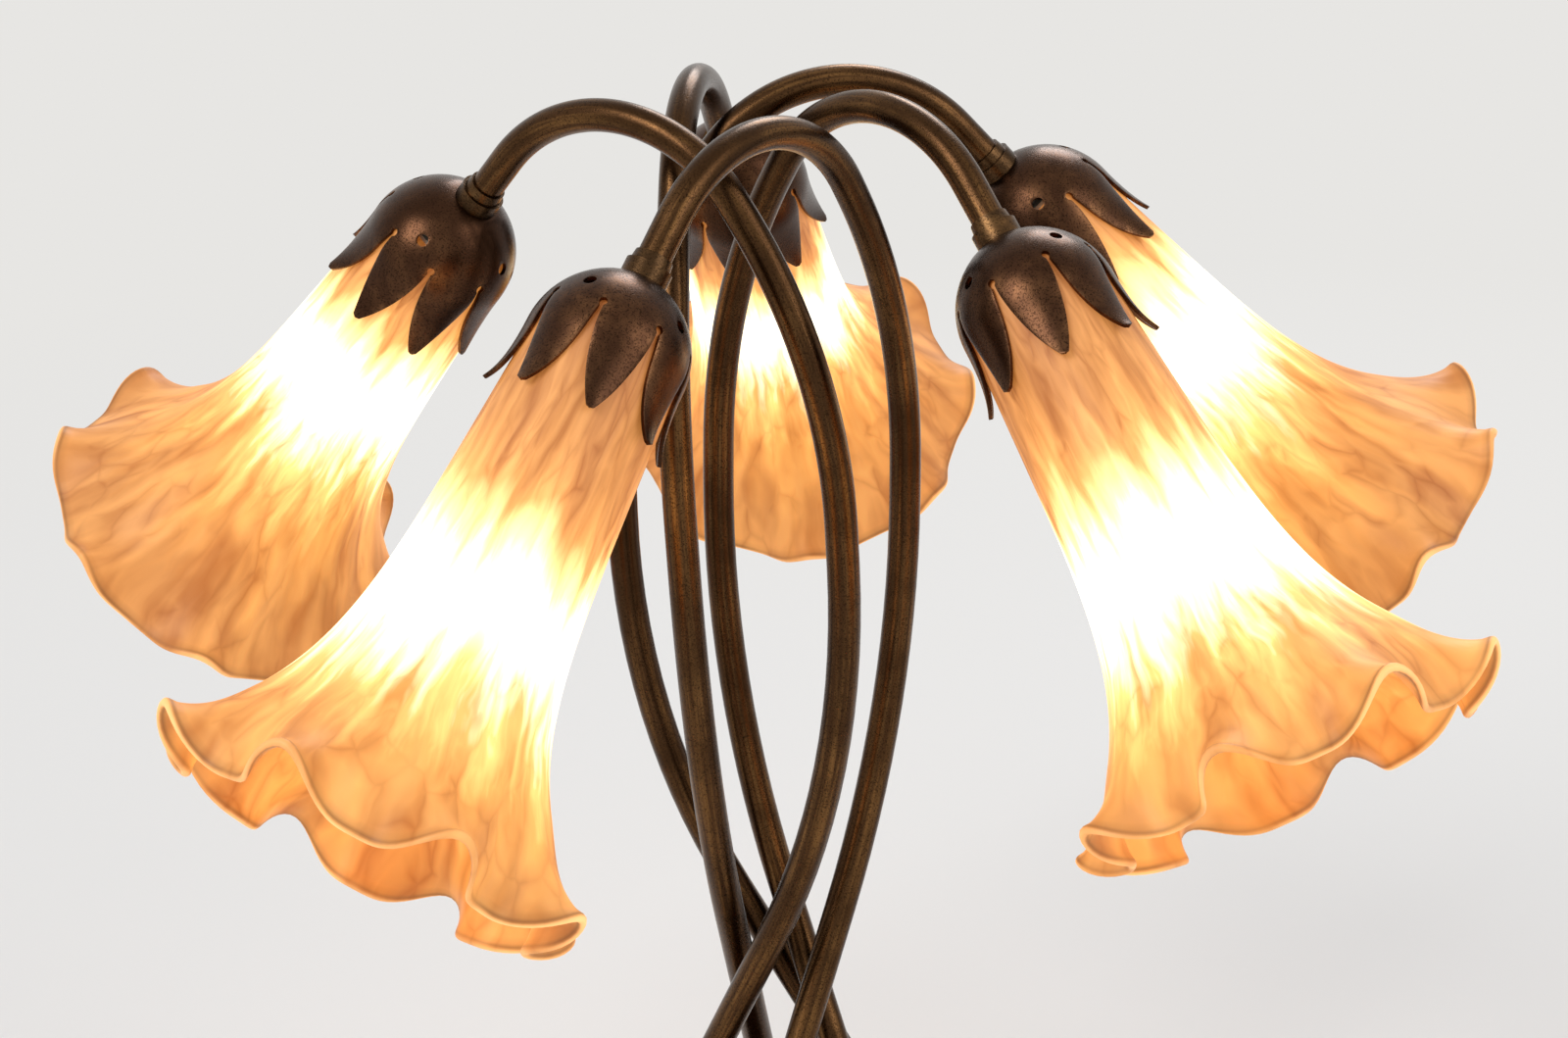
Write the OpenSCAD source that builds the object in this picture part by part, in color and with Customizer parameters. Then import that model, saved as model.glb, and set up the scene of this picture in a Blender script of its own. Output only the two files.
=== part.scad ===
// Table lamp with five entwined stems that arch over to ruffled tulip shades.
// Each stem is one round tube, bent flat and set in its own upright plane beside
// the lamp's axis, so that the five of them cross in a pinwheel at the waist.
// Units are millimetres. The axis is Z and the lamp stands on z = 0.

/* [Stems] */
// Outside diameter of the tube
tube_d = 9.5; // [8:0.5:10]
// Wall of the tube
tube_wall = 1; // [0.8:0.1:1.5]
// Height of the waist, where the stems cross
waist_z = 197; // [190:1:205]
// Mean distance from the axis to a stem at the waist
waist_r = 14.7; // [14:0.1:18]
// Slope of the stems at the waist, from upright
waist_lean = 27.3; // [24:0.1:30]
// How far each stem's plane leans away from the axis
plane_lean = 2.1; // [1:0.1:3]
// Straight length from the waist up to the first bend
waist_up = 21.7; // [18:0.1:26]
// Radius of the lower bend
foot_bend_r = 150; // [140:1:160]
// Slope at which the stems leave the base
foot_lean = 12; // [8:1:14]

/* [Arches] */
// Radius of the long bow above the waist
bow_r = 269; // [250:1:290]
// Turn of the long bow
bow_turn = 27.9; // [26:0.1:30]
// Straight length between the bow and the shoulder
bow_gap = 11.3; // [8:0.1:16]
// Radius of the shoulder bend
shoulder_r = 162; // [150:1:175]
// Turn of the shoulder bend
shoulder_turn = 33.4; // [31:0.1:36]
// Straight length between the shoulder and the arch
shoulder_gap = 4.6; // [3:0.1:8]
// Radius of the arch over the top
arch_r = 48.2; // [44:0.1:54]
// Turn of the arch
arch_turn = 104.1; // [100:0.1:108]
// Straight length from the arch to the leaf cap
arch_end = 17.4; // [14:0.1:22]

/* [Leaf caps] */
// Greatest radius of the cap's dome
cap_r = 22.6; // [22.4:0.1:23]
// Length of the cap, from its crown to the leaf tips
cap_len = 43.7; // [42:0.1:46]
// Sheet thickness
cap_wall = 1.1; // [0.9:0.1:1.3]
// Number of leaves
leaves = 8; // [6:1:8]
// Diameter of the air holes in the dome
vent_d = 3.6; // [3:0.1:4]

/* [Glass shades] */
// Outside radius of the neck
neck_r = 20.2; // [19.8:0.1:20.2]
// Length from the cap's crown to the end of the bell, where the lip starts
bell_end = 140; // [134:1:142]
// Added radius of the bell's even taper
taper = 8.2; // [7.5:0.1:9]
// Added radius of the flare at the bell's end
flare = 12.7; // [11:0.1:13.5]
// Length of the lip at the folds that curl out
fold_len = 30.4; // [26:0.1:31]
// Length of the lip at the lobes that hang between the folds
lobe_len = 32.4; // [28:0.1:33]
// Number of ruffles round the lip
ruffles = 8; // [6:1:8]
// Thickness of the glass
glass_wall = 2.6; // [2.2:0.1:3]

/* [Lamps] */
// Greatest diameter of the candle bulb
bulb_d = 35; // [30:1:36]
// Length of the bulb's glass
bulb_len = 72; // [60:1:76]

/* [Base] */
// Radius of the base
base_r = 100; // [95:1:110]
// Height of the base's top
base_h = 32; // [30:1:34]
// Bore of the cord inlet
inlet_d = 6.4; // [6:0.1:7]

/* [Hidden] */
count = 5;
// each stem's own set: degrees round from an even spacing, and mm out from waist_r
arm_set = [[0, 1.9], [8.5, -4.1], [-3.5, 0.2], [-5.5, -2.3], [-9.7, 3.9]];
first_heading = -129.5;
fn = 64;
fine = 96;
gap = 0.3;
slip = 0.2;
fit = 0.04;
knuckle = 0.1;
knuckle_reach = 0.25;

// tube: the lower end's height, the drop from the waist to it within the stem's plane,
// and what the straight below the waist leaves of that drop to the lower bend
foot_end_z = 18.4;
foot_in = 26;
foot_turn = -(foot_lean + waist_lean);
foot_z = -(waist_z - foot_end_z) / cos(plane_lean);
waist_down = (-foot_z - foot_bend_r * (sin(waist_lean) + sin(foot_lean))
    - foot_in * cos(foot_lean)) / cos(waist_lean);
foot_s = waist_down * sin(waist_lean)
    - foot_bend_r * (cos(waist_lean) - cos(foot_lean)) - foot_in * sin(foot_lean);

// [straight length, turn, bend radius] from the base upward
path = [
    [foot_in, foot_turn, foot_bend_r],
    [waist_down + waist_up, bow_turn, bow_r],
    [bow_gap, shoulder_turn, shoulder_r],
    [shoulder_gap, arch_turn, arch_r]
];
tube_tail = 9.7;

// collars and locknuts on the tubes
collar_r = tube_d / 2 + 1.85;
collar_h = 3;
nut_r = tube_d / 2 + 2.85;
nut_h = 3.5;

// leaf cap
dome_r = 24;
dome_in = dome_r - cap_r;
dome_mid = 24;
crown_t = 1.6;
seat_t = 3.2;
leaf_flare_r = 90;
leaf_side_r = 63;
leaf_root = 14;
slot_root = 16;
slot_half = 0.55;
leaf_tip_r = 1.7;
leaf_tip_t = cap_len - leaf_tip_r;
slot_hole_r = 1.2;
vent_t = 11;

// lampholder and its ring, measured along the shade's axis from the cap's crown
holder_t = seat_t + nut_h;
holder_r = 11.4;
shoulder_t = 12.4;
shoulder_r_out = 15.6;
glass_t = 14;
crown_h = 3;
skirt_r = 13.6;
holder_end = 53;
wire_r = 3;
ring_t = glass_t + crown_h + gap;
ring_h = 6;
ring_r = 15.6;
ring_flange_r = 16.4;
ring_flange_h = 1.6;
grips = 12;
grip_r = 0.7;

// bulb
cap_shell_r = 6.8;
socket_r = cap_shell_r + gap;
socket_t = 32;
contact_h = 2;
bulb_t = holder_end + 1.5;
bulb_foot_t = socket_t + gap + contact_h;
belly = 0.42 * bulb_len;

// glass
neck_round = 4;
hole_r = skirt_r + 0.5;
bell_steps = 6;
flute_t = 60;
flute_depth = 0.8;
lip_steps = 5;
// degrees by which the wall swings from the bell's slope to the edge, drawn in and spread
lobe_swing = [-36, -2];
fold_swing = [44, 56];
// shares of a ruffle at which the glass is drawn, closer together at the fold
ruffle_shares = [0, 0.13, 0.3, 0.5, 0.7, 0.87];
// each shade's own lip: degrees round to a fold, how far the mouth dips towards x and
// towards y, and how far it is spread, from 0 to 1
lip_set = [[30, 3.5, 0, 0], [15, 0, 2.5, 0], [38, 0, -2, 0.3], [37, 0, -4, 1], [12.5, -1.5, 1, 1]];

// base, with z along the lamp's axis and boss lengths along the stem from its lower end
base_wall = 4;
band_h = 6;
cavity_r = 54;
plate_t = 2;
felt_t = 2;
plate_r = 87;
cove_r = 30;
cove_z = base_h + 4;
cove_x = base_r - 8;
pillar_z = 16;
boss_r = 10;
boss_from = 7.6;
boss_to = 16.4;
weight_r = 44;
bolt_d = 6;
bolt_head_h = 1.8;
acorn_h = 5;
acorn_r = 5.2;
inlet_z = 15.5;
inlet_y = 80;
inlet_boss_r = 7;
bushing_d = 10;
bushing_len = 12;
bushing_flange_r = 6.3;
bushing_flange_h = 2;

// ---------- placing ----------

// the upright plane of stem i, with its origin at the waist
module stem_plane(i) {
    rotate([0, 0, first_heading + 360 / count * (i - 1) + arm_set[i - 1][0]])
        translate([0, waist_r + arm_set[i - 1][1], waist_z])
            rotate([-plane_lean, 0, 0])
                children();
}

module stem_foot(i) {
    stem_plane(i)
        translate([foot_s, 0, foot_z])
            rotate([0, foot_lean, 0])
                children();
}

// carries its children along the straights and bends of a path
module follow(rows, i = 0) {
    if (i < len(rows)) {
        side = sign(rows[i][1]) * rows[i][2];
        translate([side, 0, rows[i][0]])
            rotate([0, rows[i][1], 0])
                translate([-side, 0, 0])
                    follow(rows, i + 1) children();
    } else
        children();
}

// the shade's axis on stem i: z runs from the cap's crown to the mouth
module shade_axis(i) {
    stem_foot(i)
        follow(path)
            translate([0, 0, arch_end])
                children();
}

// ---------- bent tube ----------

// one bend, from the origin up along z and over towards x
module bend(turn, r, d) {
    inset = asin(knuckle_reach / r);
    mirror([turn < 0 ? 1 : 0, 0, 0])
        translate([r, 0, 0])
            rotate([90, 0, 0])
                rotate([0, 0, 180 - abs(turn) + inset])
                    rotate_extrude(angle = abs(turn) - 2 * inset, $fn = fine)
                        translate([r, 0])
                            circle(d = d, $fn = fn);
}

// a run of straights and bends; a hair-fine knuckle closes each joint between them
module bent_rod(rows, d, head, tail, i = 0) {
    start = i == 0 ? -head : knuckle_reach;
    if (i < len(rows)) {
        translate([0, 0, start])
            cylinder(h = rows[i][0] - knuckle_reach - start, d = d, $fn = fn);
        translate([0, 0, rows[i][0]]) {
            sphere(d = d + knuckle, $fn = fn);
            bend(rows[i][1], rows[i][2], d);
        }
        follow([rows[i]]) {
            sphere(d = d + knuckle, $fn = fn);
            bent_rod(rows, d, head, tail, i + 1);
        }
    } else
        translate([0, 0, start])
            cylinder(h = arch_end + tail - start, d = d, $fn = fn);
}

module stem_tube(i) {
    color("#6b4a2a")
        stem_foot(i)
            difference() {
                bent_rod(path, tube_d, 0, tube_tail);
                bent_rod(path, tube_d - 2 * tube_wall, 1, tube_tail + 1);
            }
}

// ---------- leaf cap ----------

// hole through whatever is slipped over a tube
module tube_hole() {
    translate([0, 0, -10]) cylinder(h = 40, d = tube_d + fit, $fn = fn);
}

module locknut() {
    difference() {
        cylinder(h = nut_h, r = nut_r, $fn = 6);
        tube_hole();
    }
}

module cap_collar(i) {
    color("#5d4024")
        shade_axis(i)
            difference() {
                union() {
                    translate([0, 0, -collar_h]) cylinder(h = collar_h + crown_t, r = collar_r, $fn = fn);
                    translate([0, 0, -2 * collar_h])
                        cylinder(h = collar_h + 1, r1 = collar_r - 1.2, r2 = collar_r - 0.7, $fn = fn);
                }
                tube_hole();
            }
}

// half section of the cap from the axis to its face, drawn in x = radius, y = length
module cap_half(inset) {
    intersection() {
        translate([-dome_in, dome_mid]) circle(r = dome_r - inset, $fn = fine);
        square([cap_r, dome_mid]);
    }
    difference() {
        translate([0, dome_mid]) square([cap_r + 6, cap_len - dome_mid]);
        translate([cap_r + leaf_flare_r, dome_mid])
            circle(r = leaf_flare_r + inset, $fn = 2 * fine);
    }
}

// the part of that section beyond length t
module cap_half_from(inset, t) {
    intersection() {
        cap_half(inset);
        translate([0, t]) square([2 * cap_r, 2 * cap_len]);
    }
}

// gap between two leaves, laid flat: y = length
module leaf_slot() {
    pitch = PI * cap_r / leaves;
    difference() {
        translate([-pitch, slot_root]) square([2 * pitch, cap_len + 2 - slot_root]);
        for (side = [-1, 1]) {
            intersection() {
                translate([side * (leaf_side_r + slot_half), leaf_root])
                    circle(r = leaf_side_r, $fn = 2 * fine);
                translate([side * pitch - pitch, 0]) square([2 * pitch, leaf_tip_t]);
            }
            translate([side * pitch, leaf_tip_t]) circle(r = leaf_tip_r, $fn = 32);
        }
    }
    translate([0, slot_root]) circle(r = slot_hole_r, $fn = 32);
}

module leaf_cap(i) {
    color("#6a4326")
        shade_axis(i)
            difference() {
                rotate_extrude($fn = fine)
                    difference() {
                        cap_half_from(0, crown_t);
                        cap_half_from(cap_wall, seat_t);
                    }
                tube_hole();
                for (k = [0:leaves - 1])
                    rotate([0, 0, (k + 0.5) * 360 / leaves])
                        rotate([90, 0, 90])
                            translate([0, 0, cap_r / 2])
                                linear_extrude(cap_r)
                                    leaf_slot();
                for (k = [0:3])
                    rotate([0, 0, k * 90])
                        translate([-dome_in, 0, dome_mid])
                            rotate([0, 90 + asin((dome_mid - vent_t) / dome_r), 0])
                                translate([0, 0, dome_r - 6])
                                    cylinder(h = 12, d = vent_d, $fn = 24);
            }
}

module cap_locknut(i) {
    color("#b08d57") shade_axis(i) translate([0, 0, seat_t]) locknut();
}

// ---------- lampholder, ring and bulb ----------

// screwed onto the tube's end; its shoulder and the ring clamp the crown of the shade
module lampholder(i) {
    color("#e9e2cf")
        shade_axis(i)
            difference() {
                union() {
                    translate([0, 0, holder_t])
                        cylinder(h = shoulder_t - holder_t, r = holder_r, $fn = fn);
                    translate([0, 0, shoulder_t])
                        cylinder(h = glass_t - shoulder_t, r = shoulder_r_out, $fn = fn);
                    translate([0, 0, glass_t])
                        cylinder(h = holder_end - glass_t, r = skirt_r, $fn = fn);
                }
                cylinder(h = tube_tail + slip, d = tube_d + fit, $fn = fn);
                cylinder(h = socket_t + 1, r = wire_r, $fn = fn);
                translate([0, 0, socket_t]) cylinder(h = holder_end, r = socket_r, $fn = fn);
            }
}

module shade_ring(i) {
    color("#c9b48a")
        shade_axis(i)
            translate([0, 0, ring_t])
                difference() {
                    union() {
                        cylinder(h = ring_flange_h, r = ring_flange_r, $fn = fn);
                        cylinder(h = ring_h, r = ring_r - grip_r, $fn = fn);
                        for (k = [0:grips - 1])
                            rotate([0, 0, k * 360 / grips])
                                translate([ring_r - grip_r, 0, 1])
                                    cylinder(h = ring_h - 1, r = grip_r, $fn = 16);
                    }
                    translate([0, 0, -1]) cylinder(h = ring_h + 2, r = skirt_r + gap, $fn = fn);
                }
}

module bulb_cap(i) {
    color("#c8a24a")
        shade_axis(i) {
            translate([0, 0, bulb_foot_t])
                cylinder(h = bulb_t - bulb_foot_t, r = cap_shell_r, $fn = fn);
            translate([0, 0, bulb_foot_t - contact_h])
                cylinder(h = contact_h, r1 = 2.2, r2 = 4.6, $fn = fn);
        }
}

// candle shape: a quarter wave out to the belly, then drawn in to the tip
module bulb_glass(i) {
    r = bulb_d / 2;
    color("#fff4d8")
        shade_axis(i)
            rotate_extrude($fn = fine)
                polygon(concat(
                    [[0, bulb_t]],
                    [for (k = [0:6])
                        [cap_shell_r + (r - cap_shell_r) * sin(15 * k), bulb_t + belly * k / 6]],
                    [for (k = [1:8])
                        [r * pow(cos(11.25 * k), 0.8), bulb_t + belly + (bulb_len - belly) * k / 8]]
                ));
}

// ---------- glass shade ----------

// outside radius of the bell at length t
function bell_radius(t) =
    let (u = (t - glass_t) / (bell_end - glass_t))
    neck_r + taper * u + flare * pow(u, 6);

// slope of the bell's wall at length t, from the axis
function wall_slope(t) = atan(bell_radius(t + 0.5) - bell_radius(t - 0.5));

bell_slope = wall_slope(bell_end);

// 1 in the middle of a fold of the lip, 0 in the middle of a lobe
function fold(i, a) = pow(0.5 + 0.5 * cos(ruffles * (a - lip_set[i - 1][0])), 2);

// a value between its drawn-in and spread ends, for shade i
function spread(i, ends) = ends[0] + (ends[1] - ends[0]) * lip_set[i - 1][3];

// slope of the lip's wall at the share v of its length
function lip_slope(i, a, v) =
    let (f = fold(i, a), lobe = spread(i, lobe_swing))
    bell_slope + (lobe + (spread(i, fold_swing) - lobe) * f) * pow(v, 1.2 + 0.8 * f);

// mid-wall of the lip after k steps from the bell's end
function lip_mid(i, a, k) =
    k == 0
        ? [bell_radius(bell_end) + flute(i, bell_end, a) - glass_wall / 2 * cos(bell_slope),
           bell_end + glass_wall / 2 * sin(bell_slope)]
        : let (s = lip_slope(i, a, (k - 0.5) / lip_steps),
               step = (lobe_len + (fold_len - lobe_len) * fold(i, a)) / lip_steps,
               dip = (lip_set[i - 1][1] * cos(a) + lip_set[i - 1][2] * sin(a)) / lip_steps)
            lip_mid(i, a, k - 1) + [step * sin(s), step * cos(s) + dip];

// one face of the lip, half a wall to either side of its middle
function lip_face(i, a, k, side) =
    let (s = lip_slope(i, a, k / lip_steps))
    lip_mid(i, a, k) + side * glass_wall / 2 * [cos(s), -sin(s)];

// flutes run up the bell from the ruffles and fade towards the neck
function flute(i, t, a) =
    flute_depth * pow(max(0, (t - flute_t) / (bell_end - flute_t)), 2)
        * cos(ruffles * (a - lip_set[i - 1][0]));

// lengths at which the bell's sections are drawn, closer together in the flare
bell_ts = [for (k = [1:bell_steps])
    glass_t + neck_round + (bell_end - glass_t - neck_round) * pow(k / bell_steps, 0.8)];

// outer face at the angle a, from the crown to the lip's edge
function shade_outer(i, a) = concat(
    [for (k = [0:3])
        [neck_r - neck_round * (1 - sin(30 * k)), glass_t + neck_round * (1 - cos(30 * k))]],
    [for (t = bell_ts) [bell_radius(t) + flute(i, t, a), t]],
    [for (k = [1:lip_steps]) lip_face(i, a, k, 1)]
);

// inner face at the angle a, from the lip's edge back to the hole in the crown
function shade_inner(i, a) = concat(
    [for (k = [lip_steps:-1:1]) lip_face(i, a, k, -1)],
    [for (k = [bell_steps - 1:-1:0])
        let (t = bell_ts[k], s = wall_slope(t))
        [bell_radius(t) + flute(i, t, a) - glass_wall * cos(s), t + glass_wall * sin(s)]],
    [[neck_r - glass_wall, glass_t + crown_h + 2.4],
     [neck_r - glass_wall - 0.8, glass_t + crown_h],
     [hole_r, glass_t + crown_h],
     [hole_r, glass_t]]
);

module glass_shade(i) {
    per = len(ruffle_shares);
    around = per * ruffles;
    angles = [for (j = [0:around - 1])
        lip_set[i - 1][0] + (floor(j / per) + ruffle_shares[j % per]) * 360 / ruffles];
    section = [for (a = angles) concat(shade_outer(i, a), shade_inner(i, a))];
    rows = len(section[0]);
    points = [for (j = [0:around - 1], p = section[j])
        [p[0] * cos(angles[j]), p[0] * sin(angles[j]), p[1]]];
    faces = [for (j = [0:around - 1], k = [0:rows - 1])
        let (n = (j + 1) % around, m = (k + 1) % rows)
        each [[j * rows + k, j * rows + m, n * rows + m], [j * rows + k, n * rows + m, n * rows + k]]];
    color("#f6d9a0", 0.85)
        shade_axis(i)
            polyhedron(points, faces, convexity = 6);
}

// ---------- base ----------

module base_profile() {
    difference() {
        union() {
            translate([0, felt_t]) square([base_r - band_h / 2, band_h]);
            translate([base_r - band_h / 2, felt_t + band_h / 2]) circle(r = band_h / 2, $fn = 48);
            difference() {
                translate([0, felt_t]) square([cove_x, base_h - felt_t]);
                translate([cove_x, cove_z]) circle(r = cove_r, $fn = fine);
            }
        }
        square([plate_r + 1, felt_t + plate_t]);
        square([cavity_r, base_h - base_wall]);
    }
    translate([0, pillar_z]) square([boss_r, base_h - pillar_z]);
}

// clearance hole for the bolt up the axis
module bolt_hole() {
    translate([0, 0, -1]) cylinder(h = base_h + 10, d = bolt_d + 2 * slip, $fn = fn);
}

// the axis of the cord inlet, with z out of the back of the base
module inlet_axis(y) {
    translate([0, y, inlet_z]) rotate([-90, 0, 0]) children();
}

module base_casting() {
    color("#4a3522")
        difference() {
            union() {
                rotate_extrude($fn = fine) base_profile();
                for (i = [1:count])
                    stem_foot(i)
                        translate([0, 0, boss_from])
                            cylinder(h = boss_to - boss_from, r = boss_r, $fn = fn);
                inlet_axis(cavity_r + base_wall)
                    cylinder(h = inlet_y - cavity_r - base_wall, r = inlet_boss_r, $fn = fn);
            }
            for (i = [1:count])
                stem_foot(i) tube_hole();
            bolt_hole();
            inlet_axis(cavity_r - base_wall)
                cylinder(h = inlet_y, d = bushing_d, $fn = fn);
        }
}

module base_weight() {
    color("#3a3a3a")
        difference() {
            translate([0, 0, felt_t + plate_t])
                cylinder(h = pillar_z - felt_t - plate_t, r = weight_r, $fn = fine);
            bolt_hole();
        }
}

module cover_plate() {
    color("#77716a")
        difference() {
            translate([0, 0, felt_t]) cylinder(h = plate_t, r = plate_r, $fn = fine);
            bolt_hole();
            translate([0, 0, felt_t])
                cylinder(h = plate_t, r1 = bolt_d, r2 = bolt_d / 2 + slip, $fn = fn);
        }
}

module felt_pad() {
    color("#27402c") cylinder(h = felt_t, r = base_r - base_wall, $fn = fine);
}

module tie_bolt() {
    color("#8a8378")
        translate([0, 0, felt_t]) {
            cylinder(h = base_h + acorn_h - felt_t, d = bolt_d, $fn = fn);
            cylinder(h = bolt_head_h, r1 = bolt_d - 2 * slip, r2 = bolt_d / 2, $fn = fn);
        }
}

// domed cap nut at the centre of the base
module cap_nut() {
    color("#6b4a2a")
        translate([0, 0, base_h])
            difference() {
                union() {
                    cylinder(h = acorn_h, r = acorn_r + 1.2, $fn = 6);
                    translate([0, 0, acorn_h]) intersection() {
                        sphere(r = acorn_r, $fn = fn);
                        cylinder(h = acorn_r + 1, r = acorn_r + 1, $fn = fn);
                    }
                }
                translate([0, 0, -1]) cylinder(h = acorn_h + 1.5, d = bolt_d + fit, $fn = fn);
            }
}

module inlet_bushing() {
    color("#201c18")
        inlet_axis(inlet_y)
            difference() {
                union() {
                    translate([0, 0, -bushing_len])
                        cylinder(h = bushing_len, d = bushing_d - fit, $fn = fn);
                    cylinder(h = bushing_flange_h, r = bushing_flange_r, $fn = fn);
                }
                translate([0, 0, -bushing_len - 1])
                    cylinder(h = bushing_len + bushing_flange_h + 2, d = inlet_d, $fn = fn);
            }
}

module stem_collars() {
    color("#5d4024")
        for (i = [1:count])
            stem_foot(i)
                difference() {
                    translate([0, 0, boss_to]) {
                        cylinder(h = collar_h, r = boss_r - 1.6, $fn = fn);
                        cylinder(h = 2 * collar_h + 1, r1 = boss_r - 3, r2 = collar_r - 0.8, $fn = fn);
                    }
                    tube_hole();
                }
}

module stem_locknuts() {
    color("#b08d57")
        for (i = [1:count])
            stem_foot(i)
                translate([0, 0, boss_from - nut_h])
                    locknut();
}

base_casting();
base_weight();
cover_plate();
felt_pad();
tie_bolt();
cap_nut();
inlet_bushing();
stem_collars();
stem_locknuts();
for (i = [1:count]) {
    stem_tube(i);
    cap_collar(i);
    leaf_cap(i);
    cap_locknut(i);
    lampholder(i);
    shade_ring(i);
    glass_shade(i);
    bulb_glass(i);
    bulb_cap(i);
}
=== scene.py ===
"""Table lamp with five entwined bronze stems and ruffled glass shades: the looks.

Metres and degrees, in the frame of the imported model. Names that end in _MM or _mm are
millimetres; those of a stem, cap, glass or bulb repeat the construction's own dimensions. t is
the distance in millimetres from a cap's crown along its shade's axis, towards the mouth.
"""
import math

import bmesh
import bpy
import numpy as np
from mathutils import Matrix, Vector


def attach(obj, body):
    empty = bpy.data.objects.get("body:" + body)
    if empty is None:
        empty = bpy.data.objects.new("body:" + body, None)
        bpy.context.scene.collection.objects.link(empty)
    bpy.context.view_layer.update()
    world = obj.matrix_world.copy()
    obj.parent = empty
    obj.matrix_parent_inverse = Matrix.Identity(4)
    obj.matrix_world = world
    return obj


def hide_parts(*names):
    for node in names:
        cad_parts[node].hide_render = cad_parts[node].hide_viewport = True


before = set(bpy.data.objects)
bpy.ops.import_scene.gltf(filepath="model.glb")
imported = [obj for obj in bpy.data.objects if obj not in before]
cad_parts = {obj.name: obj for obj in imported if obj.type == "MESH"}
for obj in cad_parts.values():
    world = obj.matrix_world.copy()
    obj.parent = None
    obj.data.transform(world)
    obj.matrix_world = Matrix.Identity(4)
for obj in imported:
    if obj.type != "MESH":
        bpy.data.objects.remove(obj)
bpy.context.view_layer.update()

MM = 0.001
COUNT = 5

# ---------- the stems' path ----------

TUBE_R_MM = 4.74
# where a stem passes the waist, how far it leans there along its own plane, and the plane's lean
WAIST_Z_MM = 197.0
WAIST_R_MM = 14.7
WAIST_LEAN = 27.3
PLANE_LEAN = 2.1
# the lower end inside the base, and the bend above it
FOOT_END_Z_MM = 18.4
FOOT_IN_MM = 26.0
FOOT_LEAN = 12.0
FOOT_BEND_R_MM = 150.0
ARCH_END_MM = 17.4
TUBE_TAIL_MM = 9.7
FIRST_HEADING = -129.5
# how far each stem's plane is turned and moved outward (mm) from an even pinwheel
ARM_SET = [(0.0, 1.9), (8.5, -4.1), (-3.5, 0.2), (-5.5, -2.3), (-9.7, 3.9)]


def sin_deg(a):
    return math.sin(math.radians(a))


def cos_deg(a):
    return math.cos(math.radians(a))


FOOT_DROP_MM = (WAIST_Z_MM - FOOT_END_Z_MM) / cos_deg(PLANE_LEAN)
WAIST_DOWN_MM = (FOOT_DROP_MM - FOOT_BEND_R_MM * (sin_deg(WAIST_LEAN) + sin_deg(FOOT_LEAN))
                 - FOOT_IN_MM * cos_deg(FOOT_LEAN)) / cos_deg(WAIST_LEAN)
FOOT_SIDE_MM = (WAIST_DOWN_MM * sin_deg(WAIST_LEAN)
                - FOOT_BEND_R_MM * (cos_deg(WAIST_LEAN) - cos_deg(FOOT_LEAN))
                - FOOT_IN_MM * sin_deg(FOOT_LEAN))
# straight length, turn in degrees and bend radius, from the base upward
PATH = [
    (FOOT_IN_MM, -(FOOT_LEAN + WAIST_LEAN), FOOT_BEND_R_MM),
    (WAIST_DOWN_MM + 21.7, 27.9, 269.0),
    (11.3, 33.4, 162.0),
    (4.6, 104.1, 48.2),
]


def shift(x, y, z):
    return Matrix.Translation((x * MM, y * MM, z * MM))


def turn(degrees, axis):
    return Matrix.Rotation(math.radians(degrees), 4, axis)


def stem_foot(i):
    """Place of stem i's lower end, with z up the tube and x towards the inside of its bends."""
    heading, out = ARM_SET[i]
    return (turn(FIRST_HEADING + 360 / COUNT * i + heading, "Z")
            @ shift(0, WAIST_R_MM + out, WAIST_Z_MM) @ turn(-PLANE_LEAN, "X")
            @ shift(FOOT_SIDE_MM, 0, -FOOT_DROP_MM) @ turn(FOOT_LEAN, "Y"))


def bend_by(angle, radius_mm):
    side = math.copysign(radius_mm, angle)
    return shift(side, 0, 0) @ turn(angle, "Y") @ shift(-side, 0, 0)


def shade_frame(i):
    """Place of shade i's cap crown, with z towards the mouth."""
    m = stem_foot(i)
    for straight, angle, radius in PATH:
        m = m @ shift(0, 0, straight) @ bend_by(angle, radius)
    return m @ shift(0, 0, ARCH_END_MM)


# length and turn between two rings of a stem's skin
STRAIGHT_STEP_MM = 6
BEND_STEP = 2


def stem_stations(i):
    """Frames along stem i's centre line, with the length run so far, in metres."""
    m, run = stem_foot(i), 0.0
    stations = [(m, run)]

    def straight_to(m, length, run, steps):
        for k in range(1, steps + 1):
            stations.append((m @ shift(0, 0, length * k / steps), run + length * k / steps * MM))
        return m @ shift(0, 0, length), run + length * MM

    for straight, angle, radius in PATH:
        m, run = straight_to(m, straight, run, max(2, round(straight / STRAIGHT_STEP_MM)))
        steps = max(6, round(abs(angle) / BEND_STEP))
        arc = abs(math.radians(angle)) * radius * MM
        for k in range(1, steps + 1):
            stations.append((m @ bend_by(angle * k / steps, radius), run + arc * k / steps))
        m, run = m @ bend_by(angle, radius), run + arc
    straight_to(m, ARCH_END_MM + TUBE_TAIL_MM, run, 6)
    return stations


# ---------- mesh helpers ----------

def mesh_object(name, points, faces):
    """Smooth-shaded object from points in metres."""
    mesh = bpy.data.meshes.new(name)
    mesh.from_pydata([tuple(p) for p in points], [], faces)
    mesh.validate()
    mesh.update()
    mesh.polygons.foreach_set("use_smooth", [True] * len(mesh.polygons))
    obj = bpy.data.objects.new(name, mesh)
    bpy.context.scene.collection.objects.link(obj)
    return obj


def add_attribute(obj, name, kind, values):
    """A number or a vector at each point, for the materials to read."""
    field = "vector" if kind == "FLOAT_VECTOR" else "value"
    layer = obj.data.attributes.new(name, kind, "POINT")
    layer.data.foreach_set(field, np.asarray(values, np.float32).ravel())


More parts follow.
